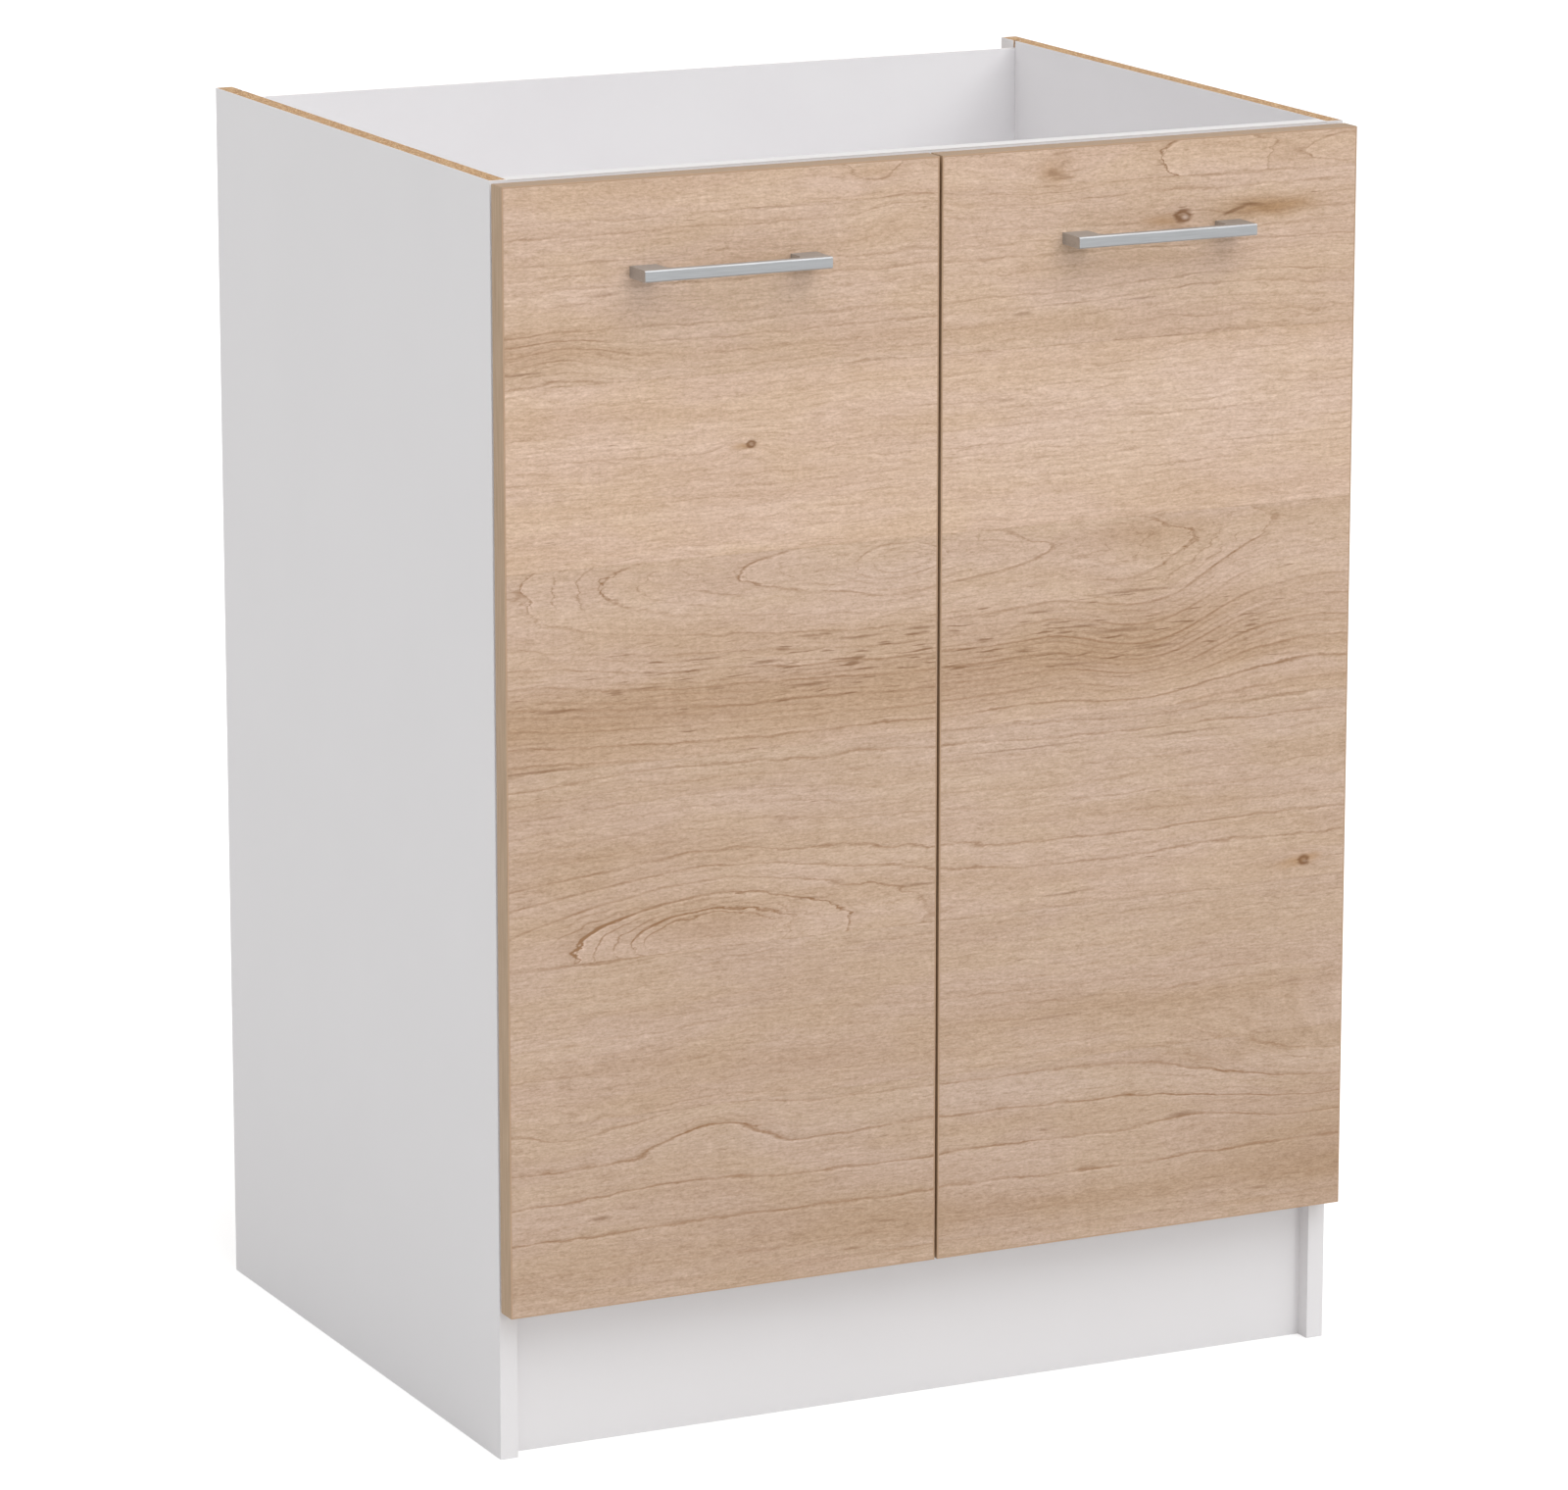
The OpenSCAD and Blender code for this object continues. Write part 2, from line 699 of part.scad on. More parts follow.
module hinge_arm(i) {
  color(steel) at_hinge(i) difference() {
    union() {
      layer_pair(cheek_z) difference() {
        union() {
          bar(pivot_a, pivot_b, eye_r);
          polygon([pivot_b - [1.5, 0], pivot_a, [arm_high, arm_web_y], [arm_high, arm_slope_ys[0]],
                   [arm_low, arm_slope_ys[1]], [arm_low, arm_rear], [arm_foot, arm_rear],
                   [arm_foot, block_ys[0]]]);
        }
        translate(pivot_a) circle(pin_r + fit);
        translate(pivot_b) circle(pin_r + fit);
      }
      linear_extrude(2 * cheek_z[1], center = true)
        polygon([[arm_high, arm_web_y], [arm_high, arm_slope_ys[0]], [arm_low, arm_slope_ys[1]],
                 [arm_low, arm_rear], [arm_low - arm_t, arm_rear], [arm_low - arm_t, arm_slope_ys[1]],
                 [arm_high - arm_t, arm_slope_ys[0]], [arm_high - arm_t, arm_web_y]]);
    }
    for (y = arm_screw_ys) rod([arm_low - arm_t - over, y, 0], "x", arm_screw_r + fit, arm_t + 2 * over);
  }
}

module hinge_plate(i) {
  color(steel) at_hinge(i) difference() {
    union() {
      box([board_t, plate_inset - plate_w / 2, -plate_l / 2],
          [board_t + plate_t, plate_inset + plate_w / 2, plate_l / 2]);
      box([board_t, block_ys[0], -block_half], [board_t + block_t, block_ys[1], block_half]);
    }
    for (s = [-1, 1])
      rod([board_t - over, plate_inset, s * plate_pitch / 2], "x", screw_r + fit, plate_t + 2 * over);
    for (y = arm_screw_ys) rod([board_t + plate_t, y, 0], "x", arm_screw_r + fit, block_t + over);
  }
}

module arm_screws() {
  shank_l = arm_t + block_t - plate_t - arm_screw_play;
  color(steel) for (i = [0, 1], y = arm_screw_ys)
    at_hinge(i) translate([arm_low, y, 0]) rotate([0, 90, 0])
      wood_screw(shank_l, arm_screw_r, arm_screw_head_r, arm_screw_head_t);
}

module plate_screws() {
  color(steel) for (i = [0, 1], s = [-1, 1])
    at_hinge(i) translate([board_t + plate_t, plate_inset, s * plate_pitch / 2]) rotate([0, 90, 0])
      wood_screw(plate_t + screw_l);
}

module cup_screws() {
  color(steel) at_cup_screws() translate([0, door_back + flange_t, 0]) rotate([-90, 0, 0])
    wood_screw(flange_t + cup_screw_l, screw_r, screw_head_r, door_gap - flange_t - rest_gap);
}

side_panel();  // side_panel_left
other_side() side_panel();  // side_panel_right
side_edge_band();  // side_edge_band_left
other_side() side_edge_band();  // side_edge_band_right
bottom_panel();
bottom_edge_band();
back_panel();
back_panel_nails();
front_rail();
rail_edge_band();
plinth_board();
plinth_brackets();
plinth_screws();
cam_locks();
cam_bolts();
wooden_dowels();
shelf();
shelf_edge_band();
shelf_pins();
door_board();  // door_left
door_edging();  // door_edging_left
other_side() door_board();  // door_right
other_side() door_edging();  // door_edging_right
handle();  // handle_left
other_side() handle();  // handle_right
handle_screws();  // handle_screws_left
other_side() handle_screws();  // handle_screws_right
door_bumpers();  // door_bumpers_left
other_side() door_bumpers();  // door_bumpers_right
hinge_cup(0);  // hinge_cup_left_upper
hinge_cup(1);  // hinge_cup_left_lower
other_side() hinge_cup(0);  // hinge_cup_right_upper
other_side() hinge_cup(1);  // hinge_cup_right_lower
hinge_arm(0);  // hinge_arm_left_upper
hinge_arm(1);  // hinge_arm_left_lower
other_side() hinge_arm(0);  // hinge_arm_right_upper
other_side() hinge_arm(1);  // hinge_arm_right_lower
hinge_plate(0);  // hinge_plate_left_upper
hinge_plate(1);  // hinge_plate_left_lower
other_side() hinge_plate(0);  // hinge_plate_right_upper
other_side() hinge_plate(1);  // hinge_plate_right_lower
long_link(0);  // long_link_left_upper
long_link(1);  // long_link_left_lower
other_side() long_link(0);  // long_link_right_upper
other_side() long_link(1);  // long_link_right_lower
short_link(0);  // short_link_left_upper
short_link(1);  // short_link_left_lower
other_side() short_link(0);  // short_link_right_upper
other_side() short_link(1);  // short_link_right_lower
arm_pins();  // arm_pins_left
other_side() arm_pins();  // arm_pins_right
cup_pins();  // cup_pins_left
other_side() cup_pins();  // cup_pins_right
cup_screws();  // cup_screws_left
other_side() cup_screws();  // cup_screws_right
plate_screws();  // plate_screws_left
other_side() plate_screws();  // plate_screws_right
arm_screws();  // arm_screws_left
other_side() arm_screws();  // arm_screws_right
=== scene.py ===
"""Kitchen base cabinet: its finishes, its softened edges, the light and the camera."""
import math

import bpy
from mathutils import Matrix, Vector


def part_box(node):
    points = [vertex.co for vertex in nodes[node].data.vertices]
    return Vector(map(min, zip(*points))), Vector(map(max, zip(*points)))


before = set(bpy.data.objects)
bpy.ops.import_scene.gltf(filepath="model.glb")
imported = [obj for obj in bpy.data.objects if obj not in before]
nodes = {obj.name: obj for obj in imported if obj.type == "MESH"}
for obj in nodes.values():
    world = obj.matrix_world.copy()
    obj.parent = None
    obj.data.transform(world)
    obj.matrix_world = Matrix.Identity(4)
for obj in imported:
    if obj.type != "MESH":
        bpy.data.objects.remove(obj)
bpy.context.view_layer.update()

MM = 0.001
# Scales a place from metres to millimetres
IN_MM = (1000, 1000, 1000)


# Writing node trees

def srgb(red, green, blue):
    """A colour from 0 to 255 as a painter reads it, in the linear values that shaders take."""
    def linear(c):
        c /= 255
        return c / 12.92 if c <= 0.04045 else ((c + 0.055) / 1.055) ** 2.4
    return (linear(red), linear(green), linear(blue), 1.0)


class Graph:
    """A node tree that is written as sums: each call adds one node and gives its output."""

    def __init__(self, tree):
        self.tree = tree

    def put(self, socket, value):
        """Links an output to a socket, or sets the socket's own value."""
        if isinstance(value, bpy.types.NodeSocket):
            self.tree.links.new(value, socket)
        else:
            socket.default_value = value

    def node(self, kind, values=(), **settings):
        """A new node: values go to its sockets, and settings to the node itself."""
        made = self.tree.nodes.new(kind)
        for name, value in settings.items():
            setattr(made, name, value)
        for name, value in dict(values).items():
            self.put(made.inputs[name], value)
        return made

    def math(self, operation, *values, clamp=False):
        made = self.node("ShaderNodeMath", operation=operation, use_clamp=clamp)
        for socket, value in zip(made.inputs, values):
            self.put(socket, value)
        return made.outputs[0]

    def add(self, a, b):
        return self.math("ADD", a, b)

    def sub(self, a, b):
        return self.math("SUBTRACT", a, b)

    def mul(self, a, b):
        return self.math("MULTIPLY", a, b)

    def above(self, a, b):
        return self.math("GREATER_THAN", a, b)

    def pick(self, factor, low, high):
        """A number between low and high."""
        made = self.node("ShaderNodeMix", data_type="FLOAT")
        for index, value in ((0, factor), (2, low), (3, high)):
            self.put(made.inputs[index], value)
        return made.outputs[0]

    def blend(self, factor, low, high):
        """A colour between low and high."""
        made = self.node("ShaderNodeMix", data_type="RGBA")
        for index, value in ((0, factor), (6, low), (7, high)):
            self.put(made.inputs[index], value)
        return made.outputs[2]

    def ramp(self, value, low, high, start=0.0, end=1.0):
        """A smooth step: start below low, and end above high."""
        made = self.node("ShaderNodeMapRange", {"Value": value, "From Min": low, "From Max": high,
                                                "To Min": start, "To Max": end},
                         interpolation_type="SMOOTHSTEP")
        return made.outputs[0]

    def bell(self, value, middle, width):
        """A bell curve, one at the middle."""
        away = self.math("DIVIDE", self.sub(value, middle), width)
        return self.math("POWER", math.e, self.mul(self.mul(away, away), -1.0))

    def vector_math(self, operation, *values):
        made = self.node("ShaderNodeVectorMath", dict(enumerate(values)), operation=operation)
        return made.outputs[0]

    def scaled(self, vector, scale):
        return self.vector_math("MULTIPLY", vector, scale)

    def split(self, vector):
        return self.node("ShaderNodeSeparateXYZ", {0: vector}).outputs

    def joined(self, x, y, z):
        return self.node("ShaderNodeCombineXYZ", {0: x, 1: y, 2: z}).outputs[0]

    def noise(self, vector, scale=1.0, detail=2.0, roughness=0.5):
        made = self.node("ShaderNodeTexNoise", {"Vector": vector, "Scale": scale, "Detail": detail,
                                                "Roughness": roughness})
        return made.outputs["Fac"]

    def effect(self, tree, values):
        """A shared effect, placed with its own values: gives its outputs."""
        return self.node("ShaderNodeGroup", values, node_tree=tree).outputs


def new_group(name, inputs, outputs):
    """An empty node group with named sockets, its graph, and its inputs."""
    tree = bpy.data.node_groups.new(name, "ShaderNodeTree")
    for label, kind, value in inputs:
        socket = tree.interface.new_socket(label, in_out="INPUT", socket_type=kind)
        if value is not None:
            socket.default_value = value
    for label, kind in outputs:
        tree.interface.new_socket(label, in_out="OUTPUT", socket_type=kind)
    graph = Graph(tree)
    return tree, graph, graph.node("NodeGroupInput").outputs


def close_group(graph, **results):
    """Sends the results to the group's outputs of the same names."""
    end = graph.node("NodeGroupOutput")
    for label, value in results.items():
        graph.put(end.inputs[label.replace("_", " ")], value)


COLOUR, NUMBER, VECTOR = "NodeSocketColor", "NodeSocketFloat", "NodeSocketVector"


# Effects that several materials share

def make_emboss():
    """The fine pearl relief of melamine and edge bands, with a faint cloudiness."""
    tree, g, given = new_group("fine_emboss", [("Position", VECTOR, None), ("Grain", NUMBER, 0.9)],
                               [("Height", NUMBER), ("Cloud", NUMBER)])
    per_mm = g.scaled(given["Position"], IN_MM)
    pearl = g.noise(per_mm, given["Grain"], 3.0, 0.55)
    cloud = g.noise(per_mm, 0.012, 2.0, 0.5)
    close_group(g, Height=pearl, Cloud=cloud)
    return tree


def make_chipboard():
    """Raw particleboard: pressed chips in several tans with dark gaps between them."""
    tree, g, given = new_group("pressed_chips",
                               [("Position", VECTOR, None), ("Chip", NUMBER, 1.0)],
                               [("Color", COLOUR), ("Height", NUMBER)])
    per_mm = g.scaled(given["Position"], IN_MM)
    wander = g.noise(per_mm, 0.8, 2.0)
    bent = g.vector_math("ADD", per_mm, g.joined(wander, wander, wander))
    chips = {"Vector": bent, "Scale": given["Chip"], "Randomness": 1.0}
    cells = g.node("ShaderNodeTexVoronoi", chips, feature="F1")
    edge = g.node("ShaderNodeTexVoronoi", chips, feature="DISTANCE_TO_EDGE").outputs["Distance"]
    chip = g.split(cells.outputs["Color"])[0]
    tan = g.blend(g.ramp(chip, 0.1, 0.9), srgb(198, 152, 104), srgb(246, 216, 172))
    tan = g.blend(g.ramp(g.noise(per_mm, 2.4, 3.0), 0.45, 0.75), tan, srgb(226, 180, 126))
    gap = g.ramp(edge, 0.02, 0.16)
    shade = g.math("MULTIPLY_ADD", g.ramp(chip, 0.82, 1.0), -0.35, 1.0)
    colour = g.blend(g.mul(gap, shade), srgb(140, 96, 58), tan)
    close_group(g, Color=colour, Height=g.mul(gap, g.noise(per_mm, 3.0, 3.0)))
    return tree


def make_board_face():
    """Tells a board's faced sides from its raw edges, which a thin paper line runs along.

    Across is the surface normal's share along the board's thickness, and Depth is the distance
    in millimetres from the nearer faced side.
    """
    tree, g, given = new_group("board_face", [("Across", NUMBER, 0.0), ("Depth", NUMBER, 0.0),
                                              ("Paper", NUMBER, 0.5)], [("Raw", NUMBER)])
    sideways = g.math("LESS_THAN", g.math("ABSOLUTE", given["Across"]), 0.6)
    inside = g.ramp(g.sub(given["Depth"], given["Paper"]), -0.05, 0.05)
    close_group(g, Raw=g.mul(sideways, inside))
    return tree


def make_brushed():
    """Fine streaks along one axis, for metal and for extruded edging."""
    tree, g, given = new_group("fine_streaks", [("Position", VECTOR, None),
                                                ("Stretch", VECTOR, (1.0, 1.0, 1.0))],
                               [("Streak", NUMBER)])
    drawn = g.scaled(given["Position"], given["Stretch"])
    close_group(g, Streak=g.noise(drawn, 1.0, 4.0, 0.6))
    return tree


# The wood decor, printed as level planks that run across both doors.
# Places are in millimetres: across the cabinet from its middle, and up from the floor.

class Eye:
    """A closed figure of the grain: its middle, and how far to each side its rings close.

    tips pairs a ring's number with its half length, and rings with higher numbers pass over the
    eye. No ring shows below the number core, and rise is the height of one ring there, if it isn't
    the plank's own.
    """

    def __init__(self, x, z, *tips, core=0.4, rise=None):
        self.x, self.z, self.tips, self.core, self.rise = x, z, tips, core, rise


class Plank:
    """One printed plank, from its lower edge up to the next plank's.

    tone is its lightness against the lightest plank, ring the distance between growth rings,
    lines how dark they are and level a height at which one of them runs.
    """

    def __init__(self, bottom, tone, ring, lines, level=0.0, eyes=()):
        self.bottom, self.tone, self.ring, self.lines = bottom, tone, ring, lines
        self.eyes = eyes or (Eye(0.0, level),)


PLANKS = [
    Plank(60, 0.80, 9.0, 0.25),
    Plank(110, 0.80, 23.5, 1.00, level=169),
    Plank(222, 0.82, 9.0, 0.35),
    Plank(325, 0.85, 9.5, 0.80, eyes=(Eye(-161, 331, (2, 54), (3, 97), (4, 154), core=1.5),)),
    Plank(450, 0.89, 10.5, 0.85, eyes=(Eye(-30, 563, (1, 31), (2, 110), (3, 208), (4, 264)),)),
    Plank(577, 0.98, 5.8, 0.30),
    Plank(692, 0.93, 8.6, 0.50, level=699),
    Plank(795, 0.95, 18, 1.00, eyes=(Eye(197, 804, (1, 42), (2, 119), core=0.7),
                                     Eye(294, 806, (1, 26), core=0.5, rise=9),
                                     Eye(-45, 822, (1, 22), core=0.6, rise=15))),
]


class Spot:
    """A soft place: its middle, its half length and half height, and its strength.

    slope tilts it, by so many millimetres up for each one across.
    """

    def __init__(self, x, z, half_x, half_z, strength, slope=0.0):
        self.x, self.z, self.half_x, self.half_z = x, z, half_x, half_z
        self.strength, self.slope = strength, slope


# Where the rings are lifted, by how many millimetres
SWELLS = [
    Spot(-158, 207, 42, 16, 17), Spot(-190, 171, 60, 10, 5), Spot(300, 205, 100, 30, -34),
    Spot(195, 172, 40, 9, 5), Spot(-262, 216, 20, 8, -7), Spot(150, 510, 42, 50, -14),
    Spot(275, 515, 60, 50, 9), Spot(-262, 706, 38, 14, 9), Spot(190, 716, 110, 20, 7),
    Spot(-24, 782, 26, 16, 8), Spot(70, 800, 40, 12, -6), Spot(-132, 646, 22, 9, 6),
    Spot(173, 769, 24, 8, 6), Spot(262, 336, 30, 8, 5), Spot(-100, 285, 120, 30, 8),
]
# Where the ring lines are darker than elsewhere
STRONG_LINES = [
    Spot(-236, 341, 30, 16, 1.6), Spot(-158, 208, 70, 8, 0.6), Spot(220, 203, 90, 22, 0.7),
    Spot(-150, 558, 20, 12, 0.8), Spot(-250, 565, 45, 12, 1.6), Spot(175, 556, 50, 20, 1.5),
    Spot(-270, 708, 40, 14, 0.8), Spot(160, 806, 26, 14, 0.9),
    Spot(200, 700, 100, 6, 0.5), Spot(-40, 490, 330, 22, 0.9), Spot(175, 505, 90, 26, 0.6),
    Spot(-160, 337, 66, 18, 1.0), Spot(-60, 345, 60, 18, 0.5), Spot(86, 806, 16, 12, 1.4),
    Spot(-30, 562, 260, 14, 0.7), Spot(-161, 342, 44, 8, 2.6), Spot(-250, 338, 22, 14, 0.8),
]
# Darker, browner places, and lighter ones below zero
PATCHES = [
    Spot(-60, 485, 340, 15, 0.62), Spot(-285, 466, 90, 18, 0.45), Spot(150, 500, 100, 24, 0.30),
    Spot(-40, 514, 330, 15, 0.20), Spot(140, 565, 42, 11, 0.45), Spot(-160, 337, 46, 11, 0.50),
    Spot(0, 125, 340, 16, 0.42), Spot(290, 145, 80, 34, 0.42), Spot(215, 214, 80, 9, 0.35),
    Spot(-290, 715, 60, 13, 0.45), Spot(90, 703, 260, 8, 0.18), Spot(234, 770, 31, 6, 1.3),
    Spot(84, 804, 10, 8, 0.75), Spot(-42, 811, 22, 4, 0.45), Spot(250, 803, 12, 8, 0.15),
    Spot(-60, 248, 240, 12, 0.26), Spot(150, 258, 130, 12, 0.24), Spot(-260, 385, 90, 34, 0.30),
    Spot(250, 337, 24, 7, 0.30), Spot(160, 765, 30, 10, 0.30), Spot(60, 461, 260, 8, 0.30),
    Spot(170, 640, 150, 42, -0.25), Spot(60, 206, 90, 12, -0.25), Spot(-120, 196, 90, 9, -0.22),
    Spot(-60, 558, 70, 12, -0.18), Spot(60, 420, 240, 26, -0.08),
]
# Single dark streaks
DARK_STREAKS = [
    Spot(211, 770, 8, 1.1, 1.6, slope=0.30), Spot(224, 773, 9, 0.8, 1.0, slope=-0.05),
    Spot(86, 808, 6, 1.6, 0.30, slope=0.50), Spot(85, 800, 7, 1.5, 0.40, slope=-0.25),
    Spot(78, 803, 4, 2.0, 0.45), Spot(-280, 451, 24, 0.9, 0.9), Spot(60, 432, 42, 0.6, 0.7),
    Spot(175, 431, 26, 0.7, 0.6), Spot(-92, 350, 9, 0.8, 0.6), Spot(-12, 350, 13, 0.8, 0.7),
    Spot(95, 333, 16, 0.8, 0.7), Spot(47, 660, 6, 0.8, 0.5), Spot(58, 714, 6, 1.0, 0.7),
    Spot(144, 718, 10, 0.7, 0.7), Spot(-238, 157, 6, 1.6, 0.8), Spot(-36, 129, 7, 0.9, 0.6),
    Spot(-60, 114, 8, 0.9, 0.6), Spot(238, 117, 7, 0.9, 0.6), Spot(179, 174, 8, 1.4, 0.8),
    Spot(-90, 520, 9, 0.8, 0.7), Spot(-56, 516, 12, 0.9, 0.9), Spot(-14, 518, 9, 1.1, 0.9),
    Spot(-232, 747, 9, 1.0, 0.6), Spot(-288, 702, 12, 0.9, 0.9), Spot(140, 528, 26, 0.8, 0.8),
    Spot(262, 255, 9, 0.8, 0.5), Spot(85, 251, 18, 0.7, 0.5), Spot(130, 503, 20, 1.2, 0.8),
    Spot(72, 520, 9, 0.9, 0.9), Spot(104, 508, 11, 0.9, 0.9), Spot(158, 490, 13, 0.9, 0.8),
    Spot(96, 484, 14, 0.9, 0.7), Spot(-262, 488, 15, 1.0, 0.8), Spot(-204, 497, 10, 0.9, 0.8),
    Spot(-122, 506, 10, 1.0, 0.8), Spot(-92, 489, 12, 0.9, 0.8), Spot(-165, 512, 12, 0.8, 0.7),
]


class Knot:
    """A small knot: its place, its radius and how pale its heart is."""

    def __init__(self, x, z, radius, heart):
        self.x, self.z, self.radius, self.heart = x, z, radius, heart


KNOTS = [Knot(-132, 646, 2.9, 0.15), Knot(173, 769, 5.4, 0.75), Knot(269, 336, 3.8, 0.20)]

# The print's colours
PINK_WOOD, BEIGE_WOOD = srgb(225, 196, 175), srgb(224, 195, 170)
BROWN_WOOD, PALE_WOOD = srgb(184, 146, 108), srgb(238, 215, 200)
RING_BROWN, PORE_BROWN, KNOT_BROWN = srgb(154, 116, 82), srgb(134, 96, 62), srgb(126, 84, 46)

# A spot fades to nothing at so many times its half size
SPOT_REACH = 1.8
# Past its last ring's end, an eye's rings flatten over so many millimetres, by a part of a ring
EYE_FADE, EYE_FADE_RINGS = 60.0, 0.35
# Planks without an eye count their rings from here, so that no ring has a number below zero
FIRST_RING = 200.0


def length(g, vector):
    """How long a vector is."""
    return g.node("ShaderNodeVectorMath", {0: vector}, operation="LENGTH").outputs["Value"]


def spot_shape(g, place, spot):
    """A soft hill over a spot, as high as its strength."""
    if spot.slope:
        across, _, up = g.split(place)
        aside = g.sub(across, float(spot.x))
        place = g.joined(across, 0.0, g.math("MULTIPLY_ADD", aside, -spot.slope, up))
    scale = (1 / spot.half_x, 0.0, 1 / spot.half_z)
    offset = (-spot.x / spot.half_x, 0.0, -spot.z / spot.half_z)
    away = g.vector_math("MULTIPLY_ADD", place, scale, offset)
    return g.ramp(length(g, away), SPOT_REACH, 0.0, 0.0, float(spot.strength))


def sum_of_spots(g, place, spots):
    """The hills of all spots, added up."""
    total = spot_shape(g, place, spots[0])
    for spot in spots[1:]:
        total = g.add(total, spot_shape(g, place, spot))
    return total


def eye_rings(g, across, up, eye, spacing):
    """Growth rings round one eye: a count that grows outwards, and the millimetres from one
    ring to the next there."""
    level = g.mul(g.sub(up, float(eye.z)), 1 / (eye.rise or spacing))
    if not eye.tips:
        return g.add(level, FIRST_RING), spacing
    aside = g.math("ABSOLUTE", g.sub(across, float(eye.x)))
    closed = 0.0
    last_number, last_half = 0.0, 0.0
    for number, half in eye.tips:
        step = g.node("ShaderNodeMapRange", {"Value": aside, "From Min": float(last_half),
                                             "From Max": float(half), "To Min": 0.0,
                                             "To Max": number - last_number}).outputs[0]
        closed = g.add(step, closed)
        last_number, last_half = number, half
    slope = last_number / last_half
    fade = g.ramp(aside, last_half, last_half + EYE_FADE)
    closed = g.math("MULTIPLY_ADD", fade, EYE_FADE_RINGS, closed)
    rings = length(g, g.joined(closed, level, 0.0))
    upward = g.mul(level, 1 / (eye.rise or spacing))
    steepness = length(g, g.joined(g.mul(closed, slope), upward, 0.0))
    apart = g.math("DIVIDE", rings, g.math("MAXIMUM", steepness, slope / 4))
    return g.math("MAXIMUM", rings, eye.core), apart


def make_rings():
    """Growth rings of all planks, with the plank's number, its ring spacing and its own values."""
    inputs = [("Across", NUMBER, 0.0), ("Up", NUMBER, 0.0), ("Grain across", NUMBER, 0.0),
              ("Grain up", NUMBER, 0.0)]
    outputs = [("Rings", NUMBER), ("Spacing", NUMBER), ("Plank", NUMBER), ("Tone", NUMBER),
               ("Lines", NUMBER), ("Joint", NUMBER)]
    tree, g, given = new_group("plank_rings", inputs, outputs)
    values = {}
    joint = 1000.0
    for number, plank in enumerate(PLANKS):
        rings, apart = 1000.0, plank.ring
        for eye in plank.eyes:
            found, found_apart = eye_rings(g, given["Grain across"], given["Grain up"], eye,
                                           plank.ring)
            if len(plank.eyes) > 1:
                apart = g.pick(g.above(rings, found), apart, found_apart)
                rings = g.math("MINIMUM", rings, found)
            else:
                rings, apart = found, found_apart
        own = {"Rings": rings, "Spacing": apart, "Plank": float(number), "Tone": plank.tone,
               "Lines": plank.lines}
        if not values:
            values = own
            continue
        here = g.above(given["Up"], float(plank.bottom))
        values = {name: g.pick(here, values[name], own[name]) for name in own}
        from_edge = g.math("ABSOLUTE", g.sub(given["Up"], float(plank.bottom)))
        joint = g.math("MINIMUM", joint, from_edge)
    close_group(g, Joint=joint, **values)
    return tree


# How far the grain wanders, in millimetres: slowly, quickly and in a fine tremble
SLOW_UP, QUICK_UP, TREMBLE_UP = 9.0, 4.0, 1.6
SLOW_ACROSS, QUICK_ACROSS, TREMBLE_ACROSS = 40.0, 16.0, 3.6
# How much more the browner and paler places wander than the grain
PATCH_WANDER = 1.4
# Half widths, in millimetres, of a ring line, the pale lip inside it and a finer line between
# rings, and how far inside its line the lip lies
LINE_HALF, LIP_HALF, FINER_HALF = 0.80, 0.70, 0.60
LIP_PLACE = -1.35
# How far one plank's pattern lies from the next one's, so that no two are alike
PLANK_STEP = 37.0
# How strongly the layers of the print show
LINE_INK, LATE_INK, FINER_INK, PORE_INK = 0.60, 0.14, 0.22, 0.75
# How much more the grain's shade takes from blue than from red
GRAIN_TINT = (0.85, 1.0, 1.25)
# A broad place where pores crowd
PORE_FIELD = Spot(-20, 500, 330, 28, 0.16)


def wandering(g, place):
    """Noise round zero that moves the grain: slow, quick and trembling."""
    slow = g.sub(g.noise(g.scaled(place, (0.010, 1.0, 0.035)), 1.0, 2.0), 0.5)
    quick = g.sub(g.noise(g.scaled(place, (0.055, 1.0, 0.20)), 1.0, 3.0), 0.5)
    tremble = g.sub(g.noise(g.scaled(place, (0.35, 1.0, 0.9)), 1.0, 2.0), 0.5)
    return slow, quick, tremble


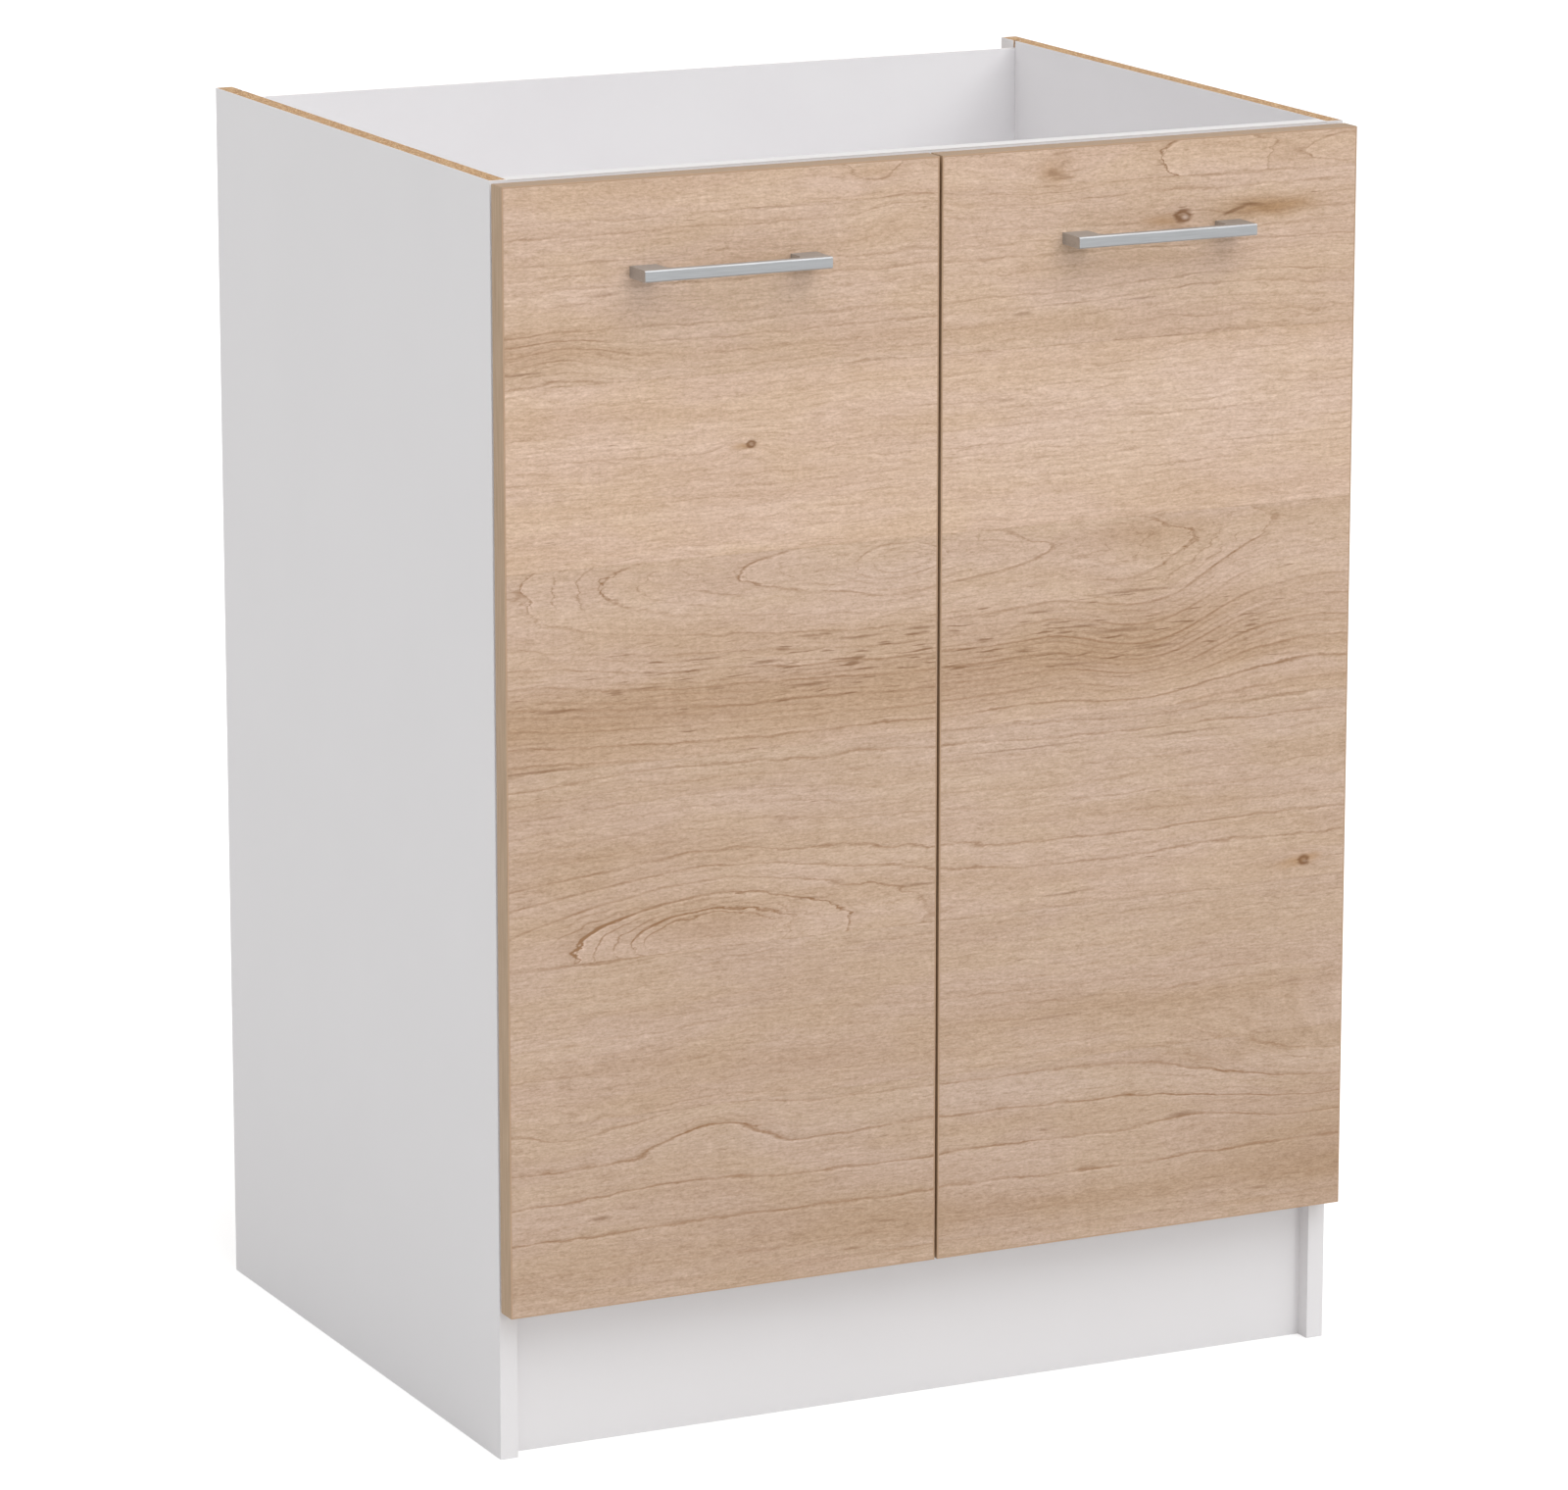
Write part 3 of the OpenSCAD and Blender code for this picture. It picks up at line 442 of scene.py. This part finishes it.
def draw_rings(g, ringed, own, place, quick):
    """The ink of ring lines, finer lines and late wood, and the pale lip inside each ring line."""
    rings, spacing = ringed["Rings"], ringed["Spacing"]
    whole = g.math("ROUND", rings)
    away = g.mul(g.sub(rings, whole), spacing)
    chance = g.node("ShaderNodeTexWhiteNoise", {"Vector": g.joined(whole, ringed["Plank"], 3.0)},
                    noise_dimensions="3D").outputs["Value"]
    strength = g.mul(g.ramp(chance, 0.0, 0.9, 0.25, 1.0), ringed["Lines"])
    broken = g.ramp(g.noise(g.scaled(own, (0.03, 1.0, 0.25)), 1.0, 3.0), 0.30, 0.66, 0.3, 1.15)
    strong = sum_of_spots(g, place, STRONG_LINES)
    strength = g.mul(strength, g.add(broken, strong))
    line = g.mul(g.bell(away, 0.0, LINE_HALF), strength)
    lip = g.mul(g.bell(away, LIP_PLACE, LIP_HALF), strength)
    late = g.mul(g.math("POWER", g.sub(1.0, g.math("FRACT", rings)), 3.0), strength)
    finer = g.math("MULTIPLY_ADD", rings, 3.0, g.mul(quick, 1.5))
    finer = g.mul(g.sub(finer, g.math("ROUND", finer)), g.mul(spacing, 1 / 3))
    shown = g.math("MULTIPLY_ADD", strong, 0.12, g.noise(g.scaled(own, (0.02, 1.0, 0.4))))
    finer = g.mul(g.bell(finer, 0.0, FINER_HALF), g.ramp(shown, 0.42, 0.70))
    finer = g.mul(finer, g.add(strong, 1.0))
    ink = g.math("MULTIPLY_ADD", line, LINE_INK, g.mul(finer, FINER_INK))
    return g.math("MULTIPLY_ADD", late, LATE_INK, ink), lip


def draw_pores(g, place, quick):
    """Short dark dashes along the grain, and the single streaks."""
    across, _, up = g.split(place)
    trembling = g.joined(across, 0.0, g.math("MULTIPLY_ADD", quick, 3.0, up))
    dashes = g.noise(g.scaled(trembling, (0.042, 1.0, 0.52)), 1.0, 1.0, 0.4)
    pores = g.ramp(g.add(dashes, spot_shape(g, place, PORE_FIELD)), 0.72, 0.86)
    return g.math("MAXIMUM", pores, sum_of_spots(g, trembling, DARK_STREAKS), clamp=True)


def draw_board(g, own, calm):
    """The wood under the lines: pink and beige, with browner bands and paler places."""
    band = g.noise(g.scaled(own, (0.004, 1.0, 0.05)), 1.0, 3.0, 0.55)
    blotch = g.noise(g.scaled(own, (0.011, 1.0, 0.035)), 1.0, 2.0)
    dark = sum_of_spots(g, calm, PATCHES)
    face = g.blend(g.ramp(blotch, 0.38, 0.62), PINK_WOOD, BEIGE_WOOD)
    face = g.blend(g.mul(g.ramp(band, 0.3, 0.75), 0.32), face, BROWN_WOOD)
    face = g.blend(g.math("MULTIPLY", dark, 0.8, clamp=True), face, BROWN_WOOD)
    return g.blend(g.math("MULTIPLY", dark, -1.0, clamp=True), face, PALE_WOOD)


def draw_fibre(g, face, place, ripple, crackle, lip, joint):
    """Fibres, crackle and veins, pale lips, and the dark joint between planks."""
    vein = g.math("ABSOLUTE", g.sub(g.noise(g.scaled(place, (0.22, 0.5, 0.5)), 1.0, 1.0), 0.5))
    vein = g.ramp(vein, 0.0, 0.08, 1.0, 0.0)
    grain = g.math("MULTIPLY_ADD", g.sub(ripple, 0.5), 0.60, g.mul(g.sub(crackle, 0.5), 0.56))
    grain = g.math("MULTIPLY_ADD", vein, -0.09, grain)
    grain = g.math("MULTIPLY_ADD", lip, 0.10, grain)
    grain = g.math("MULTIPLY_ADD", g.bell(joint, 0.0, 0.8), -0.07, grain)
    grain = g.joined(grain, grain, grain)
    shade = g.vector_math("MULTIPLY_ADD", grain, GRAIN_TINT, (1.0, 1.0, 1.0))
    return g.vector_math("MULTIPLY", face, shade)


def draw_knot(g, face, knot, place, calm, ripple):
    """A brown halo to the left, a dark ring with a lighter core, and a pale speck."""
    across, _, up = g.split(place)
    halo = Spot(knot.x - knot.radius, knot.z, knot.radius * 2.4, knot.radius * 0.8, 0.8)
    face = g.blend(spot_shape(g, calm, halo), face, BROWN_WOOD)
    drop = g.joined(g.mul(g.sub(across, float(knot.x)), 0.85 / knot.radius), 0.0,
                    g.mul(g.sub(up, float(knot.z)), 1.05 / knot.radius))
    far = g.math("MULTIPLY_ADD", g.sub(ripple, 0.5), 1.2, length(g, drop))
    ring = g.mul(g.ramp(far, 1.30, 0.60, 0.0, 0.85), g.ramp(far, 0.05, 0.60, 0.55, 1.0))
    face = g.blend(ring, face, KNOT_BROWN)
    heart = Spot(knot.x + knot.radius * 0.35, knot.z - knot.radius * 0.2, knot.radius * 0.40,
                 knot.radius * 0.24, knot.heart)
    return g.blend(g.mul(spot_shape(g, place, heart), 0.8), face, PALE_WOOD)


def make_decor(rings_tree):
    """The printed wood: colour and relief from a place on the door."""
    tree, g, given = new_group("wood_decor", [("Position", VECTOR, None)],
                               [("Color", COLOUR), ("Height", NUMBER)])
    place = g.scaled(given["Position"], IN_MM)
    across, _, up = g.split(place)
    slow, quick, tremble = wandering(g, place)
    wander = g.math("MULTIPLY_ADD", slow, SLOW_UP, g.mul(quick, QUICK_UP))
    calm_up = g.sub(g.add(up, wander), sum_of_spots(g, place, SWELLS))
    grain_up = g.math("MULTIPLY_ADD", tremble, TREMBLE_UP, calm_up)
    grain_across = g.math("MULTIPLY_ADD", tremble, TREMBLE_ACROSS, across)
    grain_across = g.math("MULTIPLY_ADD", quick, QUICK_ACROSS, grain_across)
    grain_across = g.math("MULTIPLY_ADD", slow, SLOW_ACROSS, grain_across)
    calm = g.joined(grain_across, 0.0, g.math("MULTIPLY_ADD", wander, PATCH_WANDER, up))
    ringed = g.effect(rings_tree, {"Across": across, "Up": up, "Grain across": grain_across,
                                   "Grain up": grain_up})
    own = g.joined(across, g.mul(ringed["Plank"], PLANK_STEP), calm_up)

    ripple = g.noise(g.scaled(own, (0.075, 1.0, 0.42)), 1.0, 3.0, 0.6)
    crackle = g.noise(g.scaled(place, (0.30, 0.5, 0.70)), 1.0, 2.0, 0.6)
    ink, lip = draw_rings(g, ringed, own, place, quick)
    face = draw_board(g, own, calm)
    face = draw_fibre(g, face, place, ripple, crackle, lip, ringed["Joint"])
    face = g.node("ShaderNodeVectorMath", {0: face, "Scale": ringed["Tone"]},
                  operation="SCALE").outputs[0]
    face = g.blend(ink, face, RING_BROWN)
    face = g.blend(g.mul(draw_pores(g, place, quick), PORE_INK), face, PORE_BROWN)
    for knot in KNOTS:
        face = draw_knot(g, face, knot, place, calm, ripple)
    combed = g.noise(g.scaled(place, (0.06, 1.0, 0.5)), 1.0, 1.0)
    close_group(g, Color=face, Height=g.math("MULTIPLY_ADD", crackle, 0.6, combed))
    return tree


EMBOSS, CHIPS, BOARD_FACE = make_emboss(), make_chipboard(), make_board_face()
STREAKS, DECOR = make_brushed(), make_decor(make_rings())


# Materials

WHITE = srgb(239, 237, 238)
# How rough faced board, white bands and raw wood are
MELAMINE_ROUGH, BAND_ROUGH, RAW_ROUGH = 0.42, 0.38, 0.85
X, Y, Z = 0, 1, 2


def new_material(name, roughness, metallic=0.0, specular=0.5):
    """A material with a shader, and its graph, its place and its normal in the row frame."""
    material = bpy.data.materials.new(name)
    material.use_nodes = True
    g = Graph(material.node_tree)
    shader = material.node_tree.nodes["Principled BSDF"]
    shader.inputs["Roughness"].default_value = roughness
    shader.inputs["Metallic"].default_value = metallic
    shader.inputs["Specular IOR Level"].default_value = specular
    place = g.node("ShaderNodeTexCoord").outputs
    return material, g, shader, place["Object"], place["Normal"]


def set_relief(g, shader, height, depth):
    """Fine relief from a height of 0 to 1, so many metres deep."""
    bump = g.node("ShaderNodeBump", {"Height": height, "Distance": depth, "Strength": 1.0})
    g.put(shader.inputs["Normal"], bump.outputs["Normal"])


def melamine_board(name, node, axis, face_colour):
    """A faced board whose unbanded edges show raw particleboard between two paper lines."""
    material, g, shader, place, normal = new_material(name, MELAMINE_ROUGH)
    low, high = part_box(node)
    depth = g.mul(g.math("ABSOLUTE", g.split(place)[axis]), 1 / MM)
    inner, outer = sorted((abs(low[axis]) / MM, abs(high[axis]) / MM))
    from_faces = g.math("MINIMUM", g.sub(depth, inner), g.sub(outer, depth))
    raw = g.effect(BOARD_FACE, {"Across": g.split(normal)[axis], "Depth": from_faces})["Raw"]
    emboss = g.effect(EMBOSS, {"Position": place})
    chips = g.effect(CHIPS, {"Position": place, "Chip": 0.85})
    pale = tuple(0.97 * c for c in face_colour[:3]) + (1.0,)
    white = g.blend(emboss["Cloud"], pale, face_colour)
    g.put(shader.inputs["Base Color"], g.blend(raw, white, chips["Color"]))
    g.put(shader.inputs["Roughness"], g.pick(raw, MELAMINE_ROUGH, RAW_ROUGH))
    set_relief(g, shader, g.pick(raw, g.mul(emboss["Height"], 0.06), chips["Height"]), 0.4 * MM)
    return material


def plain_finish(name, colour, roughness, grain=0.9, relief=0.02, specular=0.5):
    """A plastic or band with a fine emboss and a faint cloudiness."""
    material, g, shader, place, _ = new_material(name, roughness, specular=specular)
    emboss = g.effect(EMBOSS, {"Position": place, "Grain": grain})
    dull = tuple(0.95 * c for c in colour[:3]) + (1.0,)
    g.put(shader.inputs["Base Color"], g.blend(emboss["Cloud"], dull, colour))
    set_relief(g, shader, emboss["Height"], relief * MM)
    return material


def hardboard(name):
    """The back panel: white in front, raw brown fibre behind and at its edges."""
    material, g, shader, place, normal = new_material(name, 0.5)
    emboss = g.effect(EMBOSS, {"Position": place})
    front = g.math("LESS_THAN", g.split(normal)[1], -0.5)
    top = g.above(g.split(normal)[2], 0.5)
    painted = g.math("MAXIMUM", front, g.mul(top, 0.8))
    per_mm = g.scaled(place, IN_MM)
    fibre = g.noise(per_mm, 1.6, 4.0, 0.7)
    mesh = g.node("ShaderNodeTexVoronoi", {"Vector": per_mm, "Scale": 0.7}, feature="F1")
    brown = g.blend(g.ramp(fibre, 0.25, 0.75), srgb(116, 80, 50), srgb(182, 140, 98))
    clouds = g.mul(g.ramp(g.noise(per_mm, 0.012, 4.0, 0.65), 0.35, 0.65), 0.55)
    brown = g.blend(clouds, brown, srgb(166, 122, 82))
    flecks = g.ramp(g.noise(g.scaled(place, (500, 500, 140)), 1.0, 2.0), 0.66, 0.74)
    brown = g.blend(g.mul(flecks, 0.5), brown, srgb(92, 62, 40))
    white = g.blend(emboss["Cloud"], srgb(238, 236, 238), srgb(242, 241, 242))
    g.put(shader.inputs["Base Color"], g.blend(painted, brown, white))
    g.put(shader.inputs["Roughness"], g.pick(painted, RAW_ROUGH, MELAMINE_ROUGH))
    rough = g.add(g.mul(mesh.outputs["Distance"], 0.5), fibre)
    set_relief(g, shader, g.pick(painted, rough, g.mul(emboss["Height"], 0.06)), 0.25 * MM)
    return material


def wood_decor(name):
    """The doors' faces: printed wood in front, white behind."""
    material, g, shader, place, normal = new_material(name, 0.5, specular=0.35)
    decor = g.effect(DECOR, {"Position": place})
    emboss = g.effect(EMBOSS, {"Position": place})
    rear = g.above(g.split(normal)[1], 0.5)
    g.put(shader.inputs["Base Color"], g.blend(rear, decor["Color"], WHITE))
    height = g.pick(rear, decor["Height"], g.mul(emboss["Height"], 0.08))
    set_relief(g, shader, height, 0.30 * MM)
    return material


def door_edging(name):
    """Brown edge band with a fine printed grain along it, and painted shade darkening its upward
    faces.
    """
    material, g, shader, place, normal = new_material(name, 0.45, specular=0.35)
    upright = g.above(g.math("ABSOLUTE", g.split(normal)[0]), 0.7)
    level = g.effect(STREAKS, {"Position": place, "Stretch": (22, 900, 900)})["Streak"]
    standing = g.effect(STREAKS, {"Position": place, "Stretch": (900, 900, 22)})["Streak"]
    grain = g.pick(upright, level, standing)
    colour = g.blend(g.ramp(grain, 0.3, 0.7), srgb(174, 145, 115), srgb(196, 168, 138))
    front = g.math("LESS_THAN", g.split(normal)[1], -0.5)
    colour = g.blend(front, colour, srgb(190, 158, 130))
    # Painted shade: the band's upward faces get a darker brown, standing in for the shade on its
    # top edge
    top = g.above(g.split(normal)[2], 0.5)
    colour = g.blend(top, colour, srgb(160, 132, 104))
    g.put(shader.inputs["Base Color"], colour)
    set_relief(g, shader, grain, 0.04 * MM)
    return material


def metal(name, colour, roughness, stretch, spread=0.12):
    """Metal with fine streaks that vary its colour and gloss."""
    material, g, shader, place, _ = new_material(name, roughness, metallic=1.0)
    streak = g.effect(STREAKS, {"Position": place, "Stretch": stretch})["Streak"]
    streak = g.ramp(streak, 0.3, 0.7)
    dull = tuple(0.9 * c for c in colour[:3]) + (1.0,)
    g.put(shader.inputs["Base Color"], g.blend(streak, dull, colour))
    rough = g.pick(streak, roughness + spread / 2, roughness - spread / 2)
    g.put(shader.inputs["Roughness"], rough)
    set_relief(g, shader, streak, 0.01 * MM)
    return material


def beech(name):
    """Fine-grained beech, its grain along the dowels."""
    material, g, shader, place, _ = new_material(name, 0.6)
    streak = g.effect(STREAKS, {"Position": place, "Stretch": (60, 1500, 1500)})["Streak"]
    colour = g.blend(streak, srgb(176, 132, 92), srgb(216, 178, 136))
    g.put(shader.inputs["Base Color"], colour)
    set_relief(g, shader, streak, 0.1 * MM)
    return material


def give(material, *names):
    """Puts one material on whole CAD nodes."""
    for name in names:
        slots = nodes[name].data.materials
        slots.clear()
        slots.append(material)


def sides(name):
    """The left and the right node of a name."""
    return [name + "_left", name + "_right"]


def hinges(name):
    """The nodes of a name at all four hinges."""
    return [f"{name}_{side}_{end}" for side in ("left", "right") for end in ("upper", "lower")]


def finish_carcass():
    side = melamine_board("melamine_side", "side_panel_left", X, WHITE)
    give(side, *sides("side_panel"))
    give(melamine_board("melamine_bottom", "bottom_panel", Z, WHITE), "bottom_panel")
    give(melamine_board("melamine_shelf", "shelf", Z, WHITE), "shelf")
    give(melamine_board("melamine_rail", "front_rail", Y, WHITE), "front_rail")
    give(melamine_board("melamine_plinth", "plinth_board", Y, WHITE), "plinth_board")
    give(plain_finish("white_band", WHITE, BAND_ROUGH), *sides("side_edge_band"),
         "bottom_edge_band", "shelf_edge_band")
    give(plain_finish("rail_band", srgb(226, 223, 222), BAND_ROUGH), "rail_edge_band")
    give(hardboard("back_panel_finish"), "back_panel")
    give(plain_finish("moulded_white", srgb(232, 231, 228), 0.5, grain=2.0), "plinth_brackets")
    give(beech("fluted_beech"), "wooden_dowels")
    give(metal("dull_zinc", srgb(176, 176, 174), 0.55, (300, 300, 300)), "cam_locks")
    give(metal("zinc_plated", srgb(205, 203, 198), 0.32, (500, 500, 500)), "cam_bolts",
         "plinth_screws", "back_panel_nails", "shelf_pins", *sides("plate_screws"),
         *sides("arm_screws"), *sides("cup_screws"), *sides("handle_screws"))


def finish_doors():
    give(wood_decor("door_print"), *sides("door"))
    give(door_edging("door_band"), *sides("door_edging"))
    give(metal("satin_handle", srgb(196, 198, 200), 0.50, (40, 900, 900), 0.08), *sides("handle"))
    give(plain_finish("clear_buffer", srgb(214, 216, 212), 0.3, grain=0.5), *sides("door_bumpers"))


def finish_hinges():
    steel = metal("nickel_plated", srgb(214, 209, 202), 0.24, (300, 60, 300))
    give(steel, *hinges("hinge_cup"), *hinges("hinge_arm"), *hinges("hinge_plate"),
         *hinges("long_link"), *hinges("short_link"))
    give(metal("hinge_pin_steel", srgb(190, 188, 184), 0.3, (700, 700, 200)), *sides("arm_pins"),
         *sides("cup_pins"))


# Softened edges, on the CAD nodes themselves

SAME_PLACE = 0.001 * MM
SHARP_ANGLE = math.radians(40)


def soften(names, width):
    """Joins the imported mesh's split corners and rounds its edges a little."""
    for name in names:
        weld = nodes[name].modifiers.new("weld", "WELD")
        weld.merge_threshold = SAME_PLACE
        bevel = nodes[name].modifiers.new("soft_edge", "BEVEL")
        bevel.width = width
        bevel.segments = 2
        bevel.limit_method = "ANGLE"
        bevel.angle_limit = SHARP_ANGLE
        bevel.harden_normals = False


def soften_edges():
    soften(sides("handle"), 0.40 * MM)
    soften([*sides("door_edging"), *sides("side_edge_band"), "rail_edge_band", "bottom_edge_band",
            "shelf_edge_band"], 0.15 * MM)
    soften(["plinth_brackets", "cam_locks", "shelf_pins", *sides("door_bumpers")], 0.3 * MM)
    soften([*hinges("hinge_cup"), *hinges("hinge_plate"), *hinges("hinge_arm"),
            *hinges("long_link"), *hinges("short_link")], 0.12 * MM)


# Stage: a pale floor, soft light and the camera

PURE_WHITE = (1.0, 1.0, 1.0, 1.0)
FLOOR_HALF = 30.0
FLOOR_COLOUR = (0.62, 0.62, 0.62, 1.0)
FLOOR_GLOW = 0.5
# Light from the walls all round, and what the ceiling adds straight overhead
ROOM_LIGHT = 0.43
OVERHEAD_LIGHT = 0.82
# A broad light from a high window, and a weaker, sharper one from in front
WINDOW_LIGHT, WINDOW_WIDTH, WINDOW_AT = 0.75, 50, (1.2, -3.0, 5.0)
FRONT_LIGHT, FRONT_WIDTH, FRONT_AT = 0.31, 12, (0.6, -2.0, 0.6)
CAMERA_AT = Vector((-2.0727, -4.30025, 1.4971))
CAMERA_YAW = math.radians(25.73)
CAMERA_PITCH = math.radians(13.02)
CAMERA_LENS, CAMERA_SENSOR, CAMERA_REACH = 168.99, 36, 200


def add_floor():
    """The floor, with a glow of its own for the camera alone, so that it shows white."""
    mesh = bpy.data.meshes.new("floor")
    h = FLOOR_HALF
    mesh.from_pydata([(-h, -h, 0), (h, -h, 0), (h, h, 0), (-h, h, 0)], [], [(0, 1, 2, 3)])
    floor = bpy.data.objects.new("floor", mesh)
    bpy.context.scene.collection.objects.link(floor)
    material, g, shader, _, _ = new_material("pale_floor", 0.9, specular=0.0)
    shader.inputs["Base Color"].default_value = FLOOR_COLOUR
    shader.inputs["Emission Color"].default_value = PURE_WHITE
    seen = g.node("ShaderNodeLightPath").outputs["Is Camera Ray"]
    g.put(shader.inputs["Emission Strength"], g.mul(seen, FLOOR_GLOW))
    mesh.materials.append(material)


def add_sun(name, strength, width, at):
    """Light from the direction of one place, as wide as so many degrees of the sky."""
    light = bpy.data.lights.new(name, "SUN")
    light.energy = strength
    light.angle = math.radians(width)
    sun = bpy.data.objects.new(name, light)
    bpy.context.scene.collection.objects.link(sun)
    sun.location = at
    sun.rotation_euler = (-Vector(at)).to_track_quat("-Z", "Y").to_euler()


def add_lights():
    """White walls all round, a brighter ceiling, and two soft suns."""
    world = bpy.data.worlds.new("studio")
    world.use_nodes = True
    g = Graph(world.node_tree)
    background = world.node_tree.nodes["Background"]
    background.inputs["Color"].default_value = PURE_WHITE
    height = g.math("MAXIMUM", g.split(g.node("ShaderNodeTexCoord").outputs["Generated"])[2], 0.0)
    light = g.math("MULTIPLY_ADD", height, OVERHEAD_LIGHT, ROOM_LIGHT)
    seen = g.node("ShaderNodeLightPath").outputs["Is Camera Ray"]
    g.put(background.inputs["Strength"], g.pick(seen, light, 1.0))
    bpy.context.scene.world = world
    add_sun("tall_window", WINDOW_LIGHT, WINDOW_WIDTH, WINDOW_AT)
    add_sun("front_lamp", FRONT_LIGHT, FRONT_WIDTH, FRONT_AT)


def add_camera():
    """The photograph's viewpoint."""
    camera = bpy.data.objects.new("camera", bpy.data.cameras.new("camera"))
    bpy.context.scene.collection.objects.link(camera)
    camera.data.sensor_width = CAMERA_SENSOR
    camera.data.lens = CAMERA_LENS
    camera.data.clip_end = CAMERA_REACH
    camera.location = CAMERA_AT
    camera.rotation_euler = (math.pi / 2 - CAMERA_PITCH, 0, -CAMERA_YAW)
    bpy.context.scene.camera = camera


finish_carcass()
finish_doors()
finish_hinges()
soften_edges()
add_floor()
add_lights()
add_camera()
bpy.context.scene.view_settings.view_transform = "Standard"
